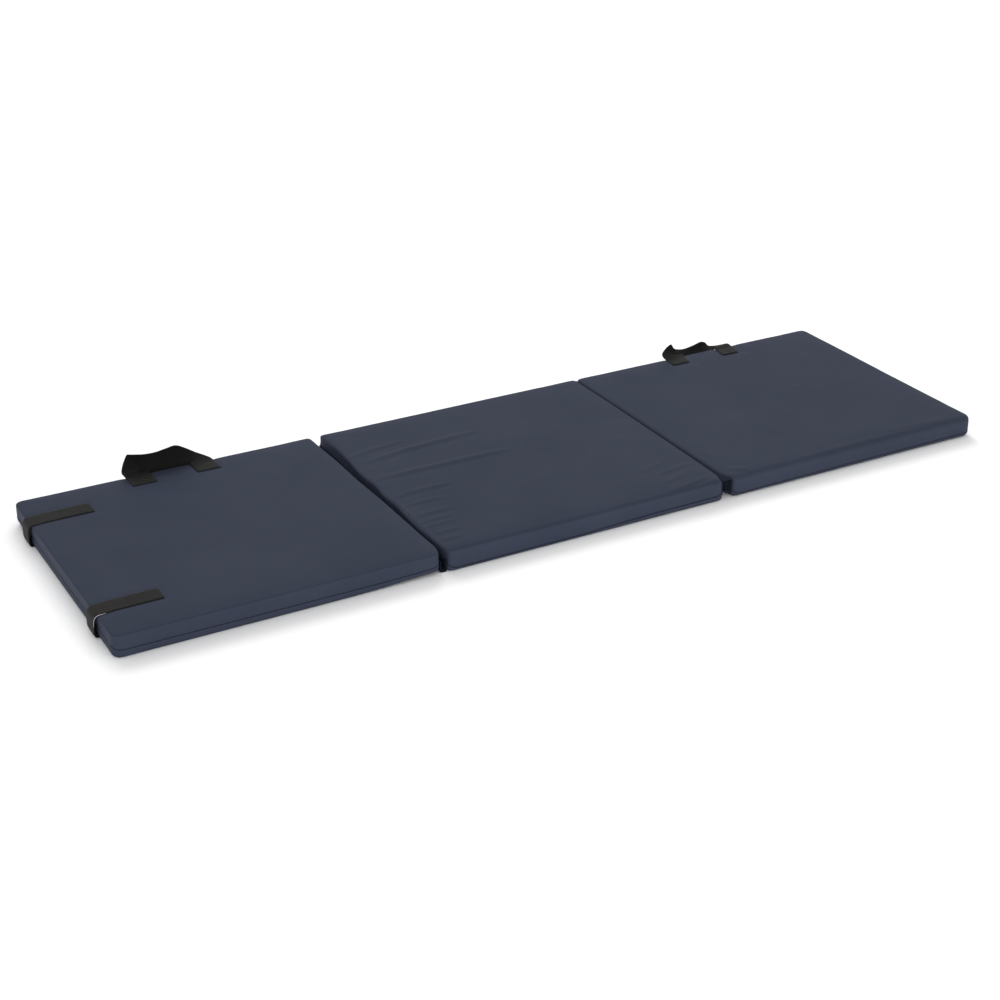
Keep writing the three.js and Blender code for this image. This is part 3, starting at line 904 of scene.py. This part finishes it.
def build_strap(place, tree):
    y, path = strap_path(place, tree)
    half = (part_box(f"{place}_strap_side")[1].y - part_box(f"{place}_strap_side")[0].y) / 2
    side_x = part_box(f"{place}_strap_side")[0].x + WEBBING / 2
    tip_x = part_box(f"{place}_strap_tip")[0].x - 1.2 * MM
    sewn_lo, sewn_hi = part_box(f"{place}_strap_sewn_end")
    length = np.concatenate([[0], np.cumsum(np.linalg.norm(np.diff(path, axis=0), axis=1))])
    turned = np.argmax(path[:, 0] < side_x + 2 * MM)
    half_side = turned + np.argmax(path[turned:, 2] < 20 * MM)
    half_wrap = half_side + np.argmax(path[half_side:, 0] > (side_x + tip_x) / 2)
    spans = (("upper", 0, half_side), ("middle", half_side, half_wrap), ("end", half_wrap, len(path) - 1))
    pieces = {}
    for part, start, stop in spans:
        line = path[start:stop + 1]
        a, b = line + (0, y - half, 0), line + (0, y + half, 0)
        pieces[part] = ribbon(f"{place}_strap_{part}_webbing", b, a, np.zeros(len(line)), BLACK_WEBBING,
                              start_length=length[start])
    # A pale grey line along the front strap's selvedge, on the top and round the bend.
    if place == "front":
        edge = [(x, y - half - 0.2 * MM, z) for x, _, z in path[:half_side]
                if sewn_lo.x + 12 * MM > x and z > PAD_TOP - 24 * MM]
        build_pale_line(f"{place}_strap_pale_line", edge)
        pieces["selvedge_mark"] = bpy.data.objects[f"{place}_strap_pale_line"]
    for part in ("upper", "selvedge_mark"):
        if part in pieces:
            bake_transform(pieces[part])
    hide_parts(f"{place}_strap_sewn_end", f"{place}_strap_side")
    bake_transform(pieces["middle"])
    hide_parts(f"{place}_strap_wrap")
    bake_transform(pieces["end"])
    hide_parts(f"{place}_strap_tip")
    sewn_x = sewn_lo.x + 45 * MM
    corners = [(sewn_x, sewn_lo.y), (sewn_hi.x, sewn_lo.y), (sewn_hi.x, sewn_hi.y), (sewn_x, sewn_hi.y)]
    lines = box_stitch(tree, corners, 3.5 * MM, STITCH_LIFT)
    stitches(f"{place}_strap_stitching", lines, "left_panel")
    build_tape(f"{place}_hook_tape_hooks", f"{place}_hook_tape", HOOKS,
               f"{place}_strap_end_length", 1)
    build_tape(f"{place}_loop_patch_pile", f"{place}_loop_patch", LOOPS, "right_panel", -1)


def build_tape(name, node, material, body, facing):
    """Hook or loop tape: a woven ground with its pile side made uneven, and rounded corners."""
    lo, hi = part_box(node)
    nx, ny = 60, 26
    radius = 4 * MM
    cx, cy = (lo.x + hi.x) / 2, (lo.y + hi.y) / 2
    half_x, half_y = (hi.x - lo.x) / 2, (hi.y - lo.y) / 2
    verts = []
    for level in (0, 1):
        for i in range(nx + 1):
            for j in range(ny + 1):
                x, y = half_x * (2 * i / nx - 1), half_y * (2 * j / ny - 1)
                ex, ey = max(0, abs(x) - half_x + radius), max(0, abs(y) - half_y + radius)
                r = math.hypot(ex, ey)
                if ex > 0 and ey > 0 and r > radius:
                    x -= math.copysign(ex * (1 - radius / r), x)
                    y -= math.copysign(ey * (1 - radius / r), y)
                z = (lo.z, hi.z)[level]
                rough = 0.12 * MM * math.sin(i * 2.1 + j * 1.3) * math.sin(j * 2.7 - i * 0.8)
                inner = 0 < i < nx and 0 < j < ny
                if inner and (level == 1) == (facing > 0):
                    z += rough * facing - 0.12 * MM * facing
                verts.append((cx + x, cy + y, z))
    row = ny + 1
    total = (nx + 1) * row
    faces = []
    for i in range(nx):
        for j in range(ny):
            quad = [i * row + j, (i + 1) * row + j, (i + 1) * row + j + 1, i * row + j + 1]
            faces.append(list(reversed(quad)))
            faces.append([total + k for k in quad])
    rim = [i * row + j for i, j in rim_walk(nx, ny)]
    for k in range(len(rim)):
        a, b = rim[k], rim[(k + 1) % len(rim)]
        faces.append([a, b, total + b, total + a])
    piece = make_object(name, verts, faces, material)
    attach(piece, body)
    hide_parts(node)


# ------------------------------------------------------------------ fabric hinges
HINGE_CLOTH = 0.8 * MM  # thickness of the hinge cloth
HINGE_FLARE = 15 * MM  # how far the loose cloth spreads beyond its sewn length at each end


def build_hinge(side, first, second, web_z, rim_z):
    """A trough of the cover's vinyl between two panels, a little slack along its length, painted darker as
    shade in the gap.
    """
    lo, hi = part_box(f"{side}_hinge_strip")
    lo.y, hi.y = lo.y - HINGE_FLARE, hi.y + HINGE_FLARE
    thickness = HINGE_CLOTH
    sign = 1 if rim_z > web_z else -1
    count, depth_steps, web_steps = 160, 7, 8
    rows = []
    walls = {RIGHT_END: (first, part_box(f"{first}_top_cover")[1].x),
             LEFT_END: (second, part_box(f"{second}_top_cover")[0].x)}
    for y in np.linspace(lo.y, hi.y, count):
        def wall(end, z):
            panel, edge = walls[end]
            return edge + stray(panel, end, y / MM, z / MM) * MM

        slack = 0.5 * MM * abs(math.sin(y / 0.021) * math.sin(y / 0.0083 + 1))
        bottom = web_z + sign * slack
        heights = np.linspace(rim_z, bottom + sign * 1.2 * MM, depth_steps)
        down = [(wall(RIGHT_END, z) + thickness, z) for z in heights]
        back_up = [(wall(LEFT_END, z) - thickness, z) for z in reversed(heights)]
        x0, x1 = down[-1][0], back_up[0][0]
        turn = np.linspace(0, math.pi, web_steps + 2)[1:-1]
        across = [(x0 + (x1 - x0) * (1 - math.cos(a)) / 2, heights[-1] - sign * 1.2 * MM * math.sin(a) ** 0.5)
                  for a in turn]
        rows.append([(x, y, z) for x, z in down + across + back_up])
    line = np.array(rows)
    tangent = np.gradient(line, axis=1)
    tangent /= np.linalg.norm(tangent, axis=2)[..., None]
    normal = np.stack([-tangent[..., 2], 0 * tangent[..., 0], tangent[..., 0]], -1)
    verts = np.vstack([(line + normal * thickness / 2).reshape(-1, 3),
                       (line - normal * thickness / 2).reshape(-1, 3)])
    columns = line.shape[1]
    total = count * columns
    faces = []
    for i in range(count - 1):
        for j in range(columns - 1):
            quad = [i * columns + j, i * columns + j + 1, (i + 1) * columns + j + 1, (i + 1) * columns + j]
            faces.append(quad)
            faces.append([total + v for v in reversed(quad)])
        for j, flip in ((0, False), (columns - 1, True)):
            quad = [i * columns + j, (i + 1) * columns + j,
                    total + (i + 1) * columns + j, total + i * columns + j]
            faces.append(quad[::-1] if flip else quad)
    for i, flip in ((0, True), (count - 1, False)):
        for j in range(columns - 1):
            quad = [i * columns + j, i * columns + j + 1,
                    total + i * columns + j + 1, total + i * columns + j]
            faces.append(quad[::-1] if flip else quad)
    piece = make_object(f"{side}_hinge_cloth", verts, faces, SHADED_HINGE_NAVY)
    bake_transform(piece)
    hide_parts(f"{side}_hinge_strip")


# ------------------------------------------------------------------ zips
def build_zip(side):
    lo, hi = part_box(f"{side}_zip_chain")
    cz = (lo.z + hi.z) / 2
    y = lo.y + 0.4 * MM
    for part, z0, z1 in (("upper", cz + 0.9 * MM, hi.z), ("lower", lo.z, cz - 0.9 * MM)):
        xs = np.linspace(lo.x, hi.x, 120)
        ripple = 0.12 * MM * np.sin(xs / 0.013 + (1 if part == "upper" else 2))
        a = np.column_stack([xs, y + ripple, np.full(120, z0)])
        b = np.column_stack([xs, y + ripple, np.full(120, z1)])
        tape = ribbon(f"{side}_zip_tape_{part}", a, b, np.zeros(120), ZIP_TAPE, thickness=0.6 * MM)
        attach(tape, f"{side}_panel")
        if part == "upper":
            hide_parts(f"{side}_zip_chain")
    build_coil(side, lo, hi, cz)
    build_slider(side)


def build_coil(side, lo, hi, cz):
    """The closed coil: interlocked turns, each a small rounded block set aslant."""
    pitch = 1.3 * MM
    count = int((hi.x - lo.x) / pitch)
    verts, faces = [], []
    half_x, half_y, half_z = 0.46 * MM, 0.55 * MM, 1.35 * MM
    ring = [(math.cos(a), math.sin(a)) for a in np.linspace(0, 2 * math.pi, 8, endpoint=False)]
    for k in range(count):
        x = lo.x + (k + 0.5) * pitch
        shift = 0.75 * MM * (1 if k % 2 else -1)
        base = len(verts)
        for level, fat in ((-1, 0.55), (-0.8, 1), (0.8, 1), (1, 0.55)):
            for c, s in ring:
                verts.append((x + c * half_x * fat, lo.y + 0.85 * MM + s * half_y * fat,
                              cz + shift + level * half_z))
        for r in range(3):
            for m in range(8):
                o = (m + 1) % 8
                p = base + r * 8
                faces.append([p + m, p + o, p + 8 + o, p + 8 + m])
        faces.append([base + m for m in reversed(range(8))])
        faces.append([base + 24 + m for m in range(8)])
    piece = make_object(f"{side}_zip_coil", verts, faces, ZIP_COIL)
    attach(piece, f"{side}_panel")


def build_slider(side):
    """The slider's shield-shaped body, hollowed for the coil, with a low bridge and no pull tab."""
    lo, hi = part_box(f"{side}_zip_slider")
    cx, cz = (lo.x + hi.x) / 2, (lo.z + hi.z) / 2
    half_x, half_z = (hi.x - lo.x) / 2, (hi.z - lo.z) / 2
    count = 14
    stations = []
    for k in range(count + 1):
        t = 2 * k / count - 1
        waist = 0.86 + 0.14 * (-t) - 0.25 * abs(t) ** 6
        stations.append((cx + half_x * t, half_z * waist))
    plate_y0, plate_y1 = hi.y - 1.3 * MM, hi.y - 0.15 * MM
    section = lambda w: [(lo.y, -w), (plate_y1 - 0.4 * MM, -w), (plate_y1, -w + 0.5 * MM),
                         (plate_y1, w - 0.5 * MM),
                         (plate_y1 - 0.4 * MM, w), (lo.y, w), (lo.y, w - 1.1 * MM), (plate_y0, w - 1.4 * MM),
                         (plate_y0, -w + 1.4 * MM), (lo.y, -w + 1.1 * MM)]
    verts, faces = [], []
    for x, w in stations:
        verts += [(x, y, cz + z) for y, z in section(w)]
    ring = 10
    for i in range(count):
        for j in range(ring):
            m = (j + 1) % ring
            faces.append([i * ring + j, i * ring + m, (i + 1) * ring + m, (i + 1) * ring + j])
    faces.append(list(reversed(range(ring))))
    faces.append([count * ring + j for j in range(ring)])
    piece = make_object(f"{side}_zip_slider_body", verts, faces, ZINC, smooth=False)
    edge = piece.modifiers.new("edges", "BEVEL")
    edge.width = 0.18 * MM
    edge.segments = 2
    edge.limit_method = "ANGLE"
    apply_modifiers(piece)
    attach(piece, f"{side}_slider")
    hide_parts(f"{side}_zip_slider")


# ------------------------------------------------------------------ studio
LAMPS = (  # name, place, aim, size, watts
    ("back_softbox", (1.1, 2.8, 2.0), (0.2, 0, 0), 1.6, 36),
    ("front_fill", (0.1, -3.2, 0.6), (0.1, 0, 0), 2.0, 22),
)
SKYLIGHT = (-0.15, -0.76, -0.60)  # the way the window light falls
SKYLIGHT_POWER = 1.15
SKYLIGHT_ANGLE = math.radians(35)  # how wide the window looks from the mat
ROOM_GLOW = 0.85
FLOOR_SIZE = 40  # metres
FLOOR_GAP = 0.2 * MM  # under the mat
FRONT_GLOW = 0.06  # how much brighter the room is in front of the mat than behind it


def build_studio():
    bpy.ops.mesh.primitive_plane_add(size=FLOOR_SIZE, location=(0, 0, -FLOOR_GAP))
    floor = bpy.context.object
    floor.name = "studio_floor"
    floor.data.materials.append(floor_material())
    world = bpy.data.worlds.new("studio")
    SCENE.world = world
    world.use_nodes = True
    tree = world.node_tree
    back = tree.nodes["Background"]
    way = tree.nodes.new("ShaderNodeTexCoord")
    parts = tree.nodes.new("ShaderNodeSeparateXYZ")
    tree.links.new(way.outputs["Generated"], parts.inputs[0])
    back.inputs["Color"].default_value = (1, 1, 1, 1)
    glow = tree.nodes.new("ShaderNodeMapRange")
    glow.inputs["From Min"].default_value = -1
    glow.inputs["To Min"].default_value = ROOM_GLOW + FRONT_GLOW
    glow.inputs["To Max"].default_value = ROOM_GLOW - FRONT_GLOW
    tree.links.new(parts.outputs["Y"], glow.inputs["Value"])
    tree.links.new(glow.outputs["Result"], back.inputs["Strength"])
    for name, place, aim, size, power in LAMPS:
        light = bpy.data.lights.new(name, "AREA")
        light.size = size
        light.energy = power
        lamp = bpy.data.objects.new(name, light)
        lamp.location = place
        lamp.rotation_euler = (Vector(aim) - lamp.location).to_track_quat("-Z", "Y").to_euler()
        lamp.visible_glossy = False  # as through a polarising filter
        lamp.visible_camera = False
        SCENE.collection.objects.link(lamp)
    light = bpy.data.lights.new("window_light", "SUN")
    light.energy = SKYLIGHT_POWER
    light.angle = SKYLIGHT_ANGLE
    lamp = bpy.data.objects.new("window_light", light)
    lamp.rotation_euler = Vector(SKYLIGHT).to_track_quat("-Z", "Y").to_euler()
    lamp.visible_glossy = False
    SCENE.collection.objects.link(lamp)
    SCENE.view_settings.view_transform = "Standard"
    data = bpy.data.cameras.new("photo_camera")
    data.lens = CAMERA_LENS
    data.sensor_width = SENSOR_WIDTH
    data.clip_end = CAMERA_REACH
    camera = bpy.data.objects.new("photo_camera", data)
    camera.location = CAMERA_PLACE
    camera.rotation_euler = (math.pi / 2 - CAMERA_PITCH, 0, CAMERA_YAW)
    SCENE.collection.objects.link(camera)
    SCENE.camera = camera


# ------------------------------------------------------------------ build
trees = {side: build_panel(side) for side in SIDES}
build_hinge("left", "left", "middle", web_z=0.6 * MM, rim_z=22 * MM)
build_hinge("right", "middle", "right", web_z=38 * MM, rim_z=9 * MM)
build_handle("left", LEFT_HANDLE, trees["left"])
build_handle("right", RIGHT_HANDLE, trees["right"])
for strap_place in PLACES:
    build_strap(strap_place, trees["left"])
for zip_side in SIDES:
    build_zip(zip_side)
build_studio()
